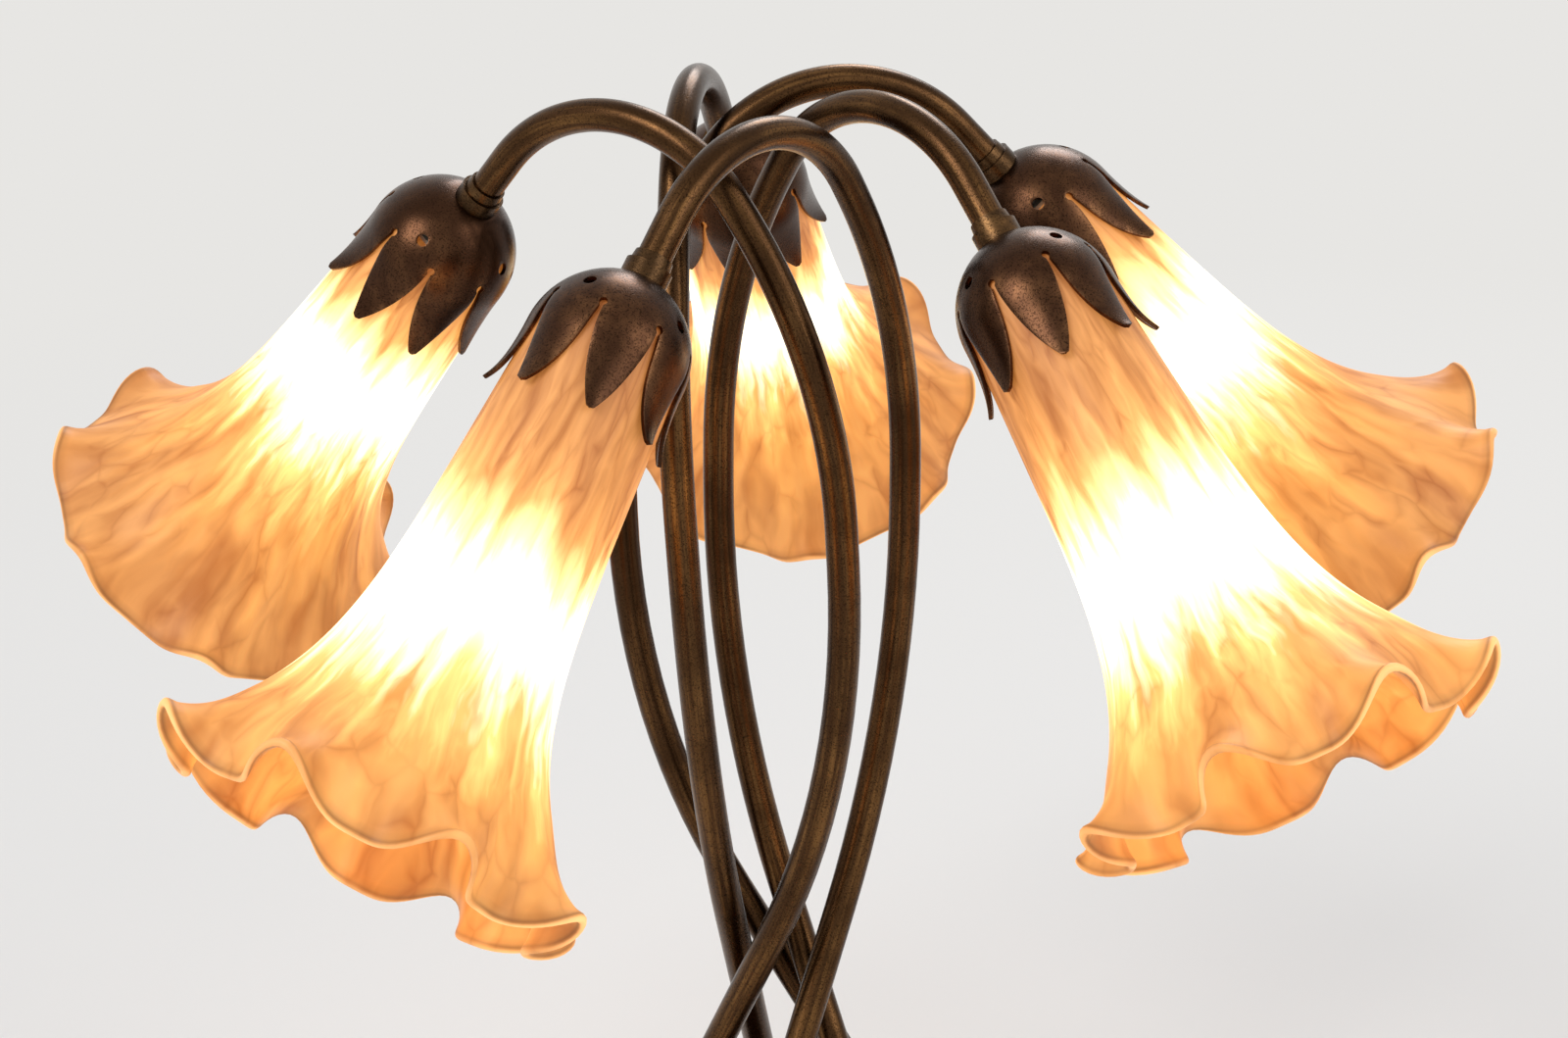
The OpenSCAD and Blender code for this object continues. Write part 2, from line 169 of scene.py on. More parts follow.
def settle(obj, place):
    """Writes an object's place into its mesh, as the construction nodes have theirs."""
    obj.data.transform(place)
    obj.matrix_world = Matrix()


def ring_faces(rings, around, closed_along=False):
    """Quads between successive rings of points."""
    faces = []
    for r in range(rings if closed_along else rings - 1):
        s = (r + 1) % rings
        for j in range(around):
            n = (j + 1) % around
            faces.append((r * around + j, r * around + n, s * around + n, s * around + j))
    return faces


def lathe(name, profile, around=64):
    """Solid of revolution about z from (radius, z) points that start and end on the axis."""
    inner = profile[1:-1]
    points = [(0, 0, profile[0][1])]
    for r, z in inner:
        points += [(r * math.cos(2 * math.pi * j / around), r * math.sin(2 * math.pi * j / around), z)
                   for j in range(around)]
    points.append((0, 0, profile[-1][1]))
    faces = [tuple(1 + v for v in f) for f in ring_faces(len(inner), around)]
    last = len(points) - 1
    for j in range(around):
        n = (j + 1) % around
        faces.append((0, 1 + n, 1 + j))
        faces.append((last, last - around + j, last - around + n))
    return mesh_object(name, points, faces)


# ---------- shader helpers ----------

class Graph:
    """One material's nodes; each call returns the output socket to link onward."""

    def __init__(self, name):
        self.material = bpy.data.materials.new(name)
        self.material.use_nodes = True
        self.tree = self.material.node_tree
        self.tree.nodes.clear()
        self.out = self.add("ShaderNodeOutputMaterial")
        self.shader = self.add("ShaderNodeBsdfPrincipled")
        self.link(self.shader.outputs[0], self.out.inputs[0])

    def add(self, kind):
        return self.tree.nodes.new(kind)

    def link(self, source, target):
        self.tree.links.new(source, target)

    def feed(self, value, target):
        if isinstance(value, bpy.types.NodeSocket):
            self.link(value, target)
        else:
            target.default_value = value

    def set(self, socket, value):
        self.feed(value, self.shader.inputs[socket])

    def object_coords(self):
        return self.add("ShaderNodeTexCoord").outputs["Object"]

    def attribute(self, name, output="Vector"):
        node = self.add("ShaderNodeAttribute")
        node.attribute_name = name
        return node.outputs[output]

    def mapped(self, vector, scale=(1, 1, 1), location=(0, 0, 0)):
        node = self.add("ShaderNodeMapping")
        self.link(vector, node.inputs["Vector"])
        node.inputs["Scale"].default_value = scale
        node.inputs["Location"].default_value = location
        return node.outputs[0]

    def noise(self, vector, scale, detail=3.0, rough=0.55):
        node = self.add("ShaderNodeTexNoise")
        self.link(vector, node.inputs["Vector"])
        node.inputs["Scale"].default_value = scale
        node.inputs["Detail"].default_value = detail
        node.inputs["Roughness"].default_value = rough
        return node.outputs["Fac"]

    def swayed(self, vector, scale, by):
        """The vector pushed aside by a slow noise."""
        noise = self.add("ShaderNodeTexNoise")
        self.link(self.mapped(vector, scale), noise.inputs["Vector"])
        noise.inputs["Scale"].default_value = 1.0
        noise.inputs["Detail"].default_value = 2.0
        push = self.add("ShaderNodeVectorMath")
        push.operation = "MULTIPLY_ADD"
        self.link(noise.outputs["Color"], push.inputs[0])
        push.inputs[1].default_value = by
        self.link(vector, push.inputs[2])
        return push.outputs[0]

    def cells(self, vector):
        """Distance to the nearest border between cells of about unit size."""
        node = self.add("ShaderNodeTexVoronoi")
        node.feature = "DISTANCE_TO_EDGE"
        self.link(vector, node.inputs["Vector"])
        node.inputs["Scale"].default_value = 1.0
        return node.outputs["Distance"]

    def ramp(self, factor, *stops):
        """Colour from (position, colour) stops; a plain number stands for a grey."""
        node = self.add("ShaderNodeValToRGB")
        self.link(factor, node.inputs[0])
        band = node.color_ramp.elements
        while len(band) < len(stops):
            band.new(0.5)
        for element, (position, colour) in zip(band, stops):
            element.position = position
            grey = isinstance(colour, (int, float))
            element.color = (colour, colour, colour, 1) if grey else (*colour, 1)
        return node.outputs["Color"]

    def math(self, operation, a, b):
        node = self.add("ShaderNodeMath")
        node.operation = operation
        self.feed(a, node.inputs[0])
        self.feed(b, node.inputs[1])
        return node.outputs[0]

    def mix(self, factor, a, b, blend="MIX"):
        node = self.add("ShaderNodeMix")
        node.data_type = "RGBA"
        node.blend_type = blend
        self.feed(factor, node.inputs["Factor"])
        for key, value in (("A", a), ("B", b)):
            socket = next(s for s in node.inputs if s.name == key and s.type == "RGBA")
            self.feed(value if isinstance(value, bpy.types.NodeSocket) else (*value, 1), socket)
        return next(s for s in node.outputs if s.type == "RGBA")

    def bump(self, height, strength, distance_mm):
        node = self.add("ShaderNodeBump")
        node.inputs["Strength"].default_value = strength
        node.inputs["Distance"].default_value = distance_mm * MM
        self.link(height, node.inputs["Height"])
        self.link(node.outputs[0], self.shader.inputs["Normal"])


# ---------- materials ----------

def patina(g, coords, streaks, dark, worn, wear):
    """Antique bronze: dark brown over worn bright metal, with fine dark pits."""
    broad = g.noise(coords, 26, 4, 0.6)
    speck = g.noise(coords, 1900, 2, 0.6)
    streak = g.noise(streaks, 1.0, 4, 0.65)
    rubbed = g.math("MULTIPLY", g.ramp(streak, (0.42, 0.0), (0.72, 1.0)),
                    g.ramp(broad, (0.4, 0.1), (0.62, 1.0)))
    pits = g.ramp(speck, (0.38, 0.0), (0.47, 1.0))
    rubbed = g.math("MULTIPLY", rubbed, g.math("ADD", g.math("MULTIPLY", pits, 0.7), 0.3))
    rubbed = g.math("MULTIPLY", rubbed, wear)
    ground = g.mix(g.ramp(broad, (0.3, 0.0), (0.7, 1.0)), dark, tuple(1.8 * c for c in dark))
    ground = g.mix(pits, tuple(0.75 * c for c in dark), ground)
    g.set("Base Color", g.mix(rubbed, ground, worn))
    g.set("Metallic", 1.0)
    rough = g.math("ADD", g.math("MULTIPLY", speck, 0.14), g.math("MULTIPLY", broad, 0.22))
    g.set("Roughness", g.math("ADD", rough, 0.09))
    g.bump(g.math("ADD", g.math("MULTIPLY", streak, 0.6), pits), 0.14, 0.2)


def tube_bronze():
    g = Graph("tube_bronze")
    run = g.attribute("run")
    patina(g, g.object_coords(), g.mapped(run, (3.4, 3.4, 20)),
           (0.044, 0.021, 0.009), (0.36, 0.18, 0.06), 0.6)
    return g.material


def cap_bronze():
    g = Graph("cap_bronze")
    edge = g.attribute("edge", "Fac")
    coords = g.object_coords()
    patina(g, coords, g.mapped(coords, (160, 160, 60)),
           (0.038, 0.017, 0.009), (0.32, 0.15, 0.065), g.math("ADD", g.math("MULTIPLY", edge, 0.6), 0.25))
    return g.material


def cast_bronze():
    g = Graph("cast_bronze")
    coords = g.object_coords()
    patina(g, coords, g.mapped(coords, (90, 90, 260)),
           (0.045, 0.024, 0.011), (0.34, 0.175, 0.065), 0.5)
    return g.material


def plain_finish(name, colour, metallic, roughness, grain=140.0, bump=0.05):
    """A small part's finish: a faint mottle in colour, gloss and surface."""
    g = Graph(name)
    mottle = g.noise(g.object_coords(), grain, 3)
    darker = tuple(0.75 * c for c in colour)
    g.set("Base Color", g.mix(g.ramp(mottle, (0.35, 0.0), (0.65, 1.0)), darker, colour))
    g.set("Metallic", metallic)
    g.set("Roughness", g.math("ADD", g.math("MULTIPLY", mottle, 0.2), roughness - 0.1))
    g.bump(mottle, bump, 0.3)
    return g.material


def felt():
    g = Graph("felt")
    coords = g.object_coords()
    fibre = g.noise(coords, 1600, 3, 0.7)
    g.set("Base Color", g.mix(fibre, (0.02, 0.06, 0.035), (0.05, 0.13, 0.075)))
    g.set("Roughness", 1.0)
    g.set("Sheen Weight", 0.4)
    g.bump(fibre, 0.6, 0.4)
    return g.material


# the glow's colour by the share of the way from the crown of the glass to its lip
GLOW = [
    (0.0, (0.12, 0.04, 0.008)),
    (0.18, (0.22, 0.085, 0.016)),
    (0.28, (0.42, 0.2, 0.05)),
    (0.36, (0.95, 0.66, 0.28)),
    (0.44, (1.0, 1.0, 0.8)),
    (0.55, (1.0, 0.95, 0.62)),
    (0.67, (0.62, 0.36, 0.1)),
    (0.78, (0.36, 0.155, 0.025)),
    (1.0, (0.2, 0.08, 0.014)),
]
GLOW_STRENGTH = 2.2


def amber_glass():
    """Frosted glass: cream cells drawn out along the blow between amber veins, lit from inside."""
    g = Graph("amber_glass")
    flow = g.attribute("flow")
    along = g.attribute("along", "Fac")
    edge = g.attribute("edge", "Fac")
    drawn = g.swayed(flow, (2.6, 2.6, 1.6), (0.22, 0.22, 0.7))
    patches = g.noise(g.mapped(drawn, (2.4, 2.4, 1.1), (5, 2, 1)), 1.0, 2, 0.5)
    cells = g.cells(g.mapped(drawn, (5.6, 5.6, 2.1), (0.3, 0.1, 0.2)))
    long_cells = g.cells(g.mapped(drawn, (3.8, 3.8, 0.4), (0.7, 0.4, 0.1)))
    netted = g.ramp(patches, (0.44, 0.0), (0.58, 1.0))
    net = g.math("MULTIPLY", g.ramp(cells, (0.0, 1.0), (0.07, 0.6), (0.3, 0.0)), netted)
    strands = g.math("MULTIPLY", g.ramp(long_cells, (0.0, 0.9), (0.1, 0.5), (0.25, 0.0)),
                     g.math("SUBTRACT", 1.0, netted))
    veins = g.math("MAXIMUM", net, strands)
    streak = g.noise(g.mapped(drawn, (9, 9, 0.9)), 1.0, 3, 0.55)
    streak = g.ramp(streak, (0.34, 0.0), (0.66, 1.0))
    cloud = g.noise(g.mapped(drawn, (4.4, 4.4, 0.9), (1, 7, 3)), 1.0, 2, 0.5)
    cloud = g.ramp(cloud, (0.38, 0.0), (0.62, 1.0))
    cream = g.math("ADD", g.math("MULTIPLY", streak, 0.2), g.math("MULTIPLY", cloud, 0.5))
    cream = g.math("SUBTRACT", g.math("ADD", cream, 0.42), g.math("MULTIPLY", veins, 0.45))
    # a slow noise for where along the lip the bead's painted highlight and painted shade line show
    lit = g.ramp(g.noise(g.mapped(flow, (2.2, 2.2, 0.1), (3, 1, 2)), 1.0, 2), (0.4, 0.2), (0.62, 1.0))
    # painted shade: a dark line just behind the bead's edge, stronger where the bead is lit
    painted_bead_shade = g.math("MULTIPLY", g.ramp(edge, (0.13, 0.0), (0.24, 0.7), (0.34, 0.25), (0.55, 0.0)),
                    g.ramp(lit, (0.2, 0.55), (0.8, 1.0)))
    body = g.mix(cream, (0.34, 0.12, 0.03), (0.6, 0.29, 0.11))
    # the painted shade line behind the bead darkens the base colour
    g.set("Base Color", g.mix(painted_bead_shade, body, (0.1, 0.035, 0.01)))
    fingers = g.noise(g.mapped(drawn, (3.4, 3.4, 0.5), (2, 4, 6)), 1.0, 1, 0.4)
    reach = g.ramp(along, (0.3, 0.02), (0.55, 0.11))
    place = g.math("ADD", along, g.math("MULTIPLY", g.math("SUBTRACT", fingers, 0.5), 0.2))
    place = g.math("ADD", place, g.math("MULTIPLY", g.math("SUBTRACT", streak, 0.5), reach))
    veil = g.ramp(place, (0.24, 1.0), (0.34, 0.12), (0.48, 0.14), (0.62, 0.9))
    glow = g.mix(veil, g.ramp(place, *GLOW), g.mix(cream, (0.4, 0.22, 0.1), (1, 1, 1)), "MULTIPLY")
    # the painted shade line behind the bead darkens the glow as well
    glow = g.mix(painted_bead_shade, glow, (0.06, 0.022, 0.005))
    # painted highlight: a bright line of light along the bead's edge, where the bead is lit
    glow = g.mix(g.math("MULTIPLY", lit, g.ramp(edge, (0.0, 1.0), (0.1, 0.8), (0.19, 0.0))),
                 glow, (0.48, 0.26, 0.1))
    g.set("Emission Color", glow)
    g.set("Emission Strength", GLOW_STRENGTH)
    g.set("Roughness", 0.5)
    g.set("Specular IOR Level", 0.35)
    g.bump(g.math("ADD", streak, g.math("MULTIPLY", veins, -0.6)), 0.2, 0.5)
    return g.material


def lit_bulb():
    g = Graph("lit_bulb")
    frost = g.noise(g.object_coords(), 400, 2)
    g.set("Base Color", g.mix(frost, (0.9, 0.8, 0.6), (1.0, 0.92, 0.74)))
    g.set("Emission Color", (1.0, 0.74, 0.38, 1))
    g.set("Emission Strength", 3.0)
    g.set("Roughness", 0.3)
    return g.material


# ---------- stems ----------

# shift of the streaks from one stem to the next, so that no two stems have the same ones
RUN_APART = 0.7


def stem(i, material, around=40):
    """The tube as one swept skin, with the length run and the turn about it kept for its finish."""
    stations = stem_stations(i)
    points, runs = [], []
    for m, run in stations:
        for j in range(around):
            a = 2 * math.pi * j / around
            local = Vector((math.cos(a), math.sin(a), 0)) * TUBE_R_MM * MM
            points.append(m @ local)
            runs.append((math.cos(a), math.sin(a), run + RUN_APART * i))
    rings = len(stations)
    faces = ring_faces(rings, around)
    faces.append(tuple(range(around))[::-1])
    faces.append(tuple(range((rings - 1) * around, rings * around)))
    obj = mesh_object(f"stem_{i + 1}", points, faces)
    add_attribute(obj, "run", "FLOAT_VECTOR", runs)
    obj.data.materials.append(material)
    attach(obj, "lamp")
    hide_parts(f"stem_tube_{i + 1}")


# ---------- leaf caps ----------

CAP_R_MM = 22.6
CAP_LEN_MM = 43.7
CAP_WALL_MM = 1.1
DOME_R_MM = 24.0
DOME_MID_MM = 24.0
CROWN_T_MM = 1.6
LEAVES = 8
LEAF_FLARE_R_MM = 90.0
LEAF_SIDE_R_MM = 63.0
LEAF_ROOT_MM = 14.0
SLOT_ROOT_MM = 16.0
SLOT_HOLE_R_MM = 1.2
SLOT_HALF_MM = 0.55
LEAF_TIP_R_MM = 1.7
VENTS = 4
VENT_T_MM = 11.0
VENT_R_MM = 1.8
VENT_CUT_MM = 8.0
TUBE_HOLE_R_MM = 4.77
# rounding of the sheet's edges where they turn by more than the angle
SHEET_EDGE_MM = 0.28
SHARP_ANGLE = 50
# width along the leaves' edges that is rubbed bright
RUB_MM = 2.0
CAP_SEED = 40
# relief of the leaves: their crown, their fall, and each tip's own flick and sideways lean
LEAF_CROWN_MM = 0.9
LEAF_FALL_MM = 0.5
FLICK_MM = (0.5, 2.2)
LEAN_MM = 0.5


def cap_radius(t):
    """Outer radius of the cap at t: a dome, then leaves that flare a little."""
    if t < DOME_MID_MM:
        return math.sqrt(DOME_R_MM ** 2 - (DOME_MID_MM - t) ** 2) - (DOME_R_MM - CAP_R_MM)
    return CAP_R_MM + LEAF_FLARE_R_MM - math.sqrt(LEAF_FLARE_R_MM ** 2 - (t - DOME_MID_MM) ** 2)


def slot_width(t):
    """Half the gap between two leaves at t."""
    hole = SLOT_HOLE_R_MM ** 2 - (t - SLOT_ROOT_MM) ** 2
    gap = math.sqrt(hole) if hole > 0 else 0.0
    if t > SLOT_ROOT_MM:
        side = LEAF_SIDE_R_MM ** 2 - (t - LEAF_ROOT_MM) ** 2
        gap = max(gap, LEAF_SIDE_R_MM + SLOT_HALF_MM - math.sqrt(side))
    tip = CAP_LEN_MM - LEAF_TIP_R_MM
    if t > tip:
        pitch = math.pi * CAP_R_MM / LEAVES
        left = LEAF_TIP_R_MM ** 2 - (t - tip) ** 2
        gap = max(gap, pitch - math.sqrt(max(left, 0.0)))
    return gap


def leaf_cap(i, material, across=14):
    """Sheet cap of eight leaves, each crowned and flicked out a little differently at its tip."""
    rng = np.random.default_rng(CAP_SEED + i)
    # rows in mm, closer together round the holes that end the slots and at the tips
    rows = ([CROWN_T_MM + 0.01] + list(np.linspace(3, 14.2, 9)) + list(np.linspace(14.8, 17.2, 7))
            + list(np.linspace(18.5, 40.5, 15)) + list(np.linspace(41.4, CAP_LEN_MM - 0.02, 6)))
    pitch = math.pi * CAP_R_MM / LEAVES
    points, edges, faces = [], [], []
    flick = rng.uniform(*FLICK_MM, LEAVES)
    lean = rng.uniform(-LEAN_MM, LEAN_MM, LEAVES)
    points_per_leaf = len(rows) * (across + 1)
    for leaf in range(LEAVES):
        for t in rows:
            half = pitch - slot_width(t)
            reach = max(0.0, (t - SLOT_ROOT_MM) / (CAP_LEN_MM - SLOT_ROOT_MM))
            for k in range(across + 1):
                u = 2 * k / across - 1
                arc = u * half / pitch * math.pi / LEAVES
                angle = 2 * math.pi * leaf / LEAVES + arc + lean[leaf] * reach ** 2 / CAP_R_MM
                crown = LEAF_CROWN_MM * reach * (1 - u * u) * half / pitch
                r = cap_radius(t) + crown - LEAF_FALL_MM * reach + flick[leaf] * reach ** 6
                points.append((r * math.cos(angle) * MM, r * math.sin(angle) * MM, t * MM))
                rim = min(1.0, (1 - abs(u)) * half / RUB_MM)
                edges.append((1 - rim) if t > SLOT_ROOT_MM - RUB_MM else 0.0)
        start = leaf * points_per_leaf
        for r in range(len(rows) - 1):
            for k in range(across):
                a = start + r * (across + 1) + k
                faces.append((a, a + 1, a + across + 2, a + across + 1))
    crown_start = len(points)
    around = LEAVES * across
    for k in range(around):
        angle = 2 * math.pi * (k / around - 0.5 / LEAVES)
        r = TUBE_HOLE_R_MM
        points.append((r * math.cos(angle) * MM, r * math.sin(angle) * MM, CROWN_T_MM * MM))
        edges.append(0.0)
        leaf, step = divmod(k, across)
        a = leaf * points_per_leaf + step
        n = crown_start + (k + 1) % around
        faces.append((crown_start + k, n, a + 1, a))
    obj = mesh_object(f"cap_leaves_{i + 1}", points, faces)
    add_attribute(obj, "edge", "FLOAT", edges)
    weld(obj, 0.02)
    thicken(obj, CAP_WALL_MM)
    cut_vents(obj)
    round_edges(obj, SHEET_EDGE_MM)
    settle(obj, shade_frame(i))
    obj.data.materials.clear()
    obj.data.materials.append(material)
    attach(obj, "lamp")
    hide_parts(f"leaf_cap_{i + 1}")


def weld(obj, distance_mm):
    bm = bmesh.new()
    bm.from_mesh(obj.data)
    bmesh.ops.remove_doubles(bm, verts=bm.verts, dist=distance_mm * MM)
    bmesh.ops.recalc_face_normals(bm, faces=bm.faces)
    bm.to_mesh(obj.data)
    bm.free()


def bake_modifiers(obj):
    graph = bpy.context.evaluated_depsgraph_get()
    mesh = bpy.data.meshes.new_from_object(obj.evaluated_get(graph))
    obj.modifiers.clear()
    obj.data = mesh


def thicken(obj, wall_mm):
    solid = obj.modifiers.new("wall", "SOLIDIFY")
    solid.thickness = wall_mm * MM
    solid.offset = -1
    bake_modifiers(obj)


def cut_vents(obj):
    """The air holes, each square to the dome."""
    cutter = bmesh.new()
    inward = DOME_R_MM - CAP_R_MM
    slope = math.asin((DOME_MID_MM - VENT_T_MM) / DOME_R_MM)
    for k in range(VENTS):
        place = (turn(360 / VENTS * k, "Z") @ shift(-inward, 0, DOME_MID_MM)
                 @ Matrix.Rotation(math.pi / 2 + slope, 4, "Y") @ shift(0, 0, DOME_R_MM))
        bmesh.ops.create_cone(cutter, cap_ends=True, segments=24, radius1=VENT_R_MM * MM,
                              radius2=VENT_R_MM * MM, depth=VENT_CUT_MM * MM, matrix=place)
    mesh = bpy.data.meshes.new("vents")
    cutter.to_mesh(mesh)
    cutter.free()
    tool = bpy.data.objects.new("vents", mesh)
    bpy.context.scene.collection.objects.link(tool)
    bpy.context.view_layer.update()
    cut = obj.modifiers.new("vents", "BOOLEAN")
    cut.operation = "DIFFERENCE"
    cut.object = tool
    cut.solver = "EXACT"
    bake_modifiers(obj)
    bpy.data.objects.remove(tool)


def round_edges(obj, width_mm):
    bevel = obj.modifiers.new("edges", "BEVEL")
    bevel.width = width_mm * MM
    bevel.segments = 2
    bevel.limit_method = "ANGLE"
    bevel.angle_limit = math.radians(SHARP_ANGLE)
    bake_modifiers(obj)
    obj.data.polygons.foreach_set("use_smooth", [True] * len(obj.data.polygons))


# ---------- glass shades ----------

NECK_R_MM = 20.2
TAPER_MM = 8.2
FLARE_MM = 12.7
FLARE_POWER = 6
GLASS_T_MM = 14.0
NECK_ROUND_MM = 4.0
BELL_END_MM = 140.0
CROWN_H_MM = 3.0
GLASS_WALL_MM = 2.6
RIM_WALL_MM = 1.9
BEAD_R_MM = 1.25
HOLE_R_MM = 14.1
CROWN_ROUND_MM = 0.8
# rows of the mesh over the neck's rounding, along the lip and round the bead at its edge
NECK_STEPS = 6
LIP_STEPS = 26
BEAD_STEPS = 8
# the band at the edge: a painted bright line of light along the bead and a painted shade line behind it,
# measured back from the tip of the bead
EDGE_BAND_MM = 9.0
RUFFLES = 8
# where the bell's flutes start, and their depth at its end
FLUTE_T_MM = 60.0
FLUTE_MM = 0.8
# length of the lip at the folds that curl out, and at the lobes that hang between them
FOLD_LEN_MM = 28.85
LOBE_LEN_MM = 30.85
# degrees by which the wall swings from the bell's slope to the edge, drawn in and spread
LOBE_SWING = (-36.0, -2.0)
FOLD_SWING = (44.0, 56.0)
# the mesh's flow attribute: mm along the glass to one unit, and units between shades
FLOW_MM = 40.0
FLOW_APART = 3.7
# lengths back from the edge over which the wall thins, and over which the bead swells
THIN_MM = 60.0
SWELL_MM = 2.6
# how much nearer the crown each bulb's glow sits, as a share of the glass
GLOW_RISE = (-0.08, -0.09, 0.08, 0.07, 0.1)
# each shade's own lip: degrees round to a fold, dip of the mouth towards x and y, spread
LIP_SET = [(30.0, 3.5, 0.0, 0.0), (15.0, 0.0, 2.5, 0.0), (38.0, 0.0, -2.0, 0.3),
           (37.0, 0.0, -4.0, 1.0), (12.5, -1.5, 1.0, 1.0)]


def bell_radius(t):
    u = (t - GLASS_T_MM) / (BELL_END_MM - GLASS_T_MM)
    return NECK_R_MM + TAPER_MM * u + FLARE_MM * np.power(np.maximum(u, 0), FLARE_POWER)


def bell_slope(t):
    return math.atan(float(bell_radius(t + 0.5) - bell_radius(t - 0.5)))


def shade_wall(i, around, steps):
    """Mid-wall of the glass in each half plane round the axis: radius and t in mm, row by row."""
    fold_at, dip_x, dip_y, spread = LIP_SET[i]
    angles = 2 * np.pi * np.arange(around) / around
    phase = angles - math.radians(fold_at)
    fold = (0.5 + 0.5 * np.cos(RUFFLES * phase)) ** 2
    half = GLASS_WALL_MM / 2
    radius, length = [], []
    for a in np.linspace(0.25, math.pi / 2, NECK_STEPS):
        radius.append(np.full(around, NECK_R_MM - NECK_ROUND_MM * (1 - math.sin(a)) - half))
        length.append(np.full(around, GLASS_T_MM + NECK_ROUND_MM * (1 - math.cos(a)) + half * 0.3))
    for t in np.linspace(GLASS_T_MM + NECK_ROUND_MM, BELL_END_MM, steps)[1:]:
        rise = max(0.0, (t - FLUTE_T_MM) / (BELL_END_MM - FLUTE_T_MM)) ** 2
        flute = FLUTE_MM * rise * np.cos(RUFFLES * phase)
        slope = bell_slope(t)
        radius.append(bell_radius(t) + flute - half * math.cos(slope))
        length.append(np.full(around, t + half * math.sin(slope)))
    r, t = radius[-1], length[-1]
    step = (LOBE_LEN_MM + (FOLD_LEN_MM - LOBE_LEN_MM) * fold) / LIP_STEPS
    lobe_swing = LOBE_SWING[0] + (LOBE_SWING[1] - LOBE_SWING[0]) * spread
    fold_swing = FOLD_SWING[0] + (FOLD_SWING[1] - FOLD_SWING[0]) * spread
    swing = np.radians(lobe_swing + (fold_swing - lobe_swing) * fold)
    dip = (dip_x * np.cos(angles) + dip_y * np.sin(angles)) / LIP_STEPS
    for k in range(LIP_STEPS):
        heading = bell_slope(BELL_END_MM) + swing * ((k + 0.5) / LIP_STEPS) ** (1.2 + 0.8 * fold)
        r = r + step * np.sin(heading)
        t = t + step * np.cos(heading) + dip
        radius.append(r)
        length.append(t)
    return angles, np.array(radius), np.array(length)


def glass_shade(i, material, around=224, steps=52):
    """Closed shell of glass: crown, bell, ruffled lip with its rounded bead, and the inside."""
    angles, radius, length = shade_wall(i, around, steps)
    rows = len(radius)
    dr, dt = np.gradient(radius, axis=0), np.gradient(length, axis=0)
    size = np.hypot(dr, dt)
    out_r, out_t = dt / size, -dr / size
    run = np.concatenate([[np.zeros(around)], np.cumsum(np.hypot(np.diff(radius, axis=0),
                                                                 np.diff(length, axis=0)), axis=0)])
    run_edge = run[-1]
    run_end = run_edge.mean()
    to_edge = run_edge - run
    half = 0.5 * (RIM_WALL_MM + (GLASS_WALL_MM - RIM_WALL_MM) * np.clip(to_edge / THIN_MM, 0, 1))
    bead = BEAD_R_MM
    swell = np.clip(1 - to_edge / SWELL_MM, 0, 1)
    half = half + (bead - half) * swell * swell * (3 - 2 * swell)
    rings = [(radius[k] + half[k] * out_r[k], length[k] + half[k] * out_t[k], run[k]) for k in range(rows)]
    for a in np.linspace(0, math.pi, BEAD_STEPS + 1)[1:-1]:
        side, ahead = math.cos(a), math.sin(a)
        rings.append((radius[-1] + bead * (side * out_r[-1] - ahead * out_t[-1]),
                      length[-1] + bead * (side * out_t[-1] + ahead * out_r[-1]), run_edge))
    rings += [(radius[k] - half[k] * out_r[k], length[k] - half[k] * out_t[k], run[k])
              for k in range(rows - 1, NECK_STEPS - 1, -1)]
    full = np.ones(around)
    inside = NECK_R_MM - GLASS_WALL_MM - CROWN_ROUND_MM
    rings += [(full * inside, full * (GLASS_T_MM + CROWN_H_MM), run[0]),
              (full * HOLE_R_MM, full * (GLASS_T_MM + CROWN_H_MM), run[0]),
              (full * HOLE_R_MM, full * GLASS_T_MM, run[0])]
    points, flow, along, edge = [], [], [], []
    cos, sin = np.cos(angles), np.sin(angles)
    for n, (r, t, s) in enumerate(rings):
        points.append(np.stack([r * cos, r * sin, t], axis=1) * MM)
        flow.append(np.stack([cos, sin, s / FLOW_MM + FLOW_APART * i], axis=1))
        along.append(s / run_end + GLOW_RISE[i])
        bead_step = min(max(n - rows + 1, 0), BEAD_STEPS)
        around_bead = bead * abs(math.pi / 2 - bead_step * math.pi / BEAD_STEPS)
        edge.append(np.minimum((run_edge - s + around_bead) / EDGE_BAND_MM, 1.0))
    obj = mesh_object(f"glass_bell_{i + 1}", np.concatenate(points), ring_faces(len(rings), around, True))
    add_attribute(obj, "flow", "FLOAT_VECTOR", np.concatenate(flow))
    add_attribute(obj, "along", "FLOAT", np.concatenate(along))
    add_attribute(obj, "edge", "FLOAT", np.concatenate(edge))
    weld(obj, 0.0001)
    settle(obj, shade_frame(i))
    obj.data.materials.append(material)
    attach(obj, "lamp")
    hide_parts(f"glass_shade_{i + 1}")


# ---------- bulbs ----------

BULB_T_MM = 54.5
BULB_LEN_MM = 72.0
BULB_R_MM = 17.5
BULB_NECK_R_MM = 6.8
BELLY_SHARE = 0.42
TIP_POWER = 0.8


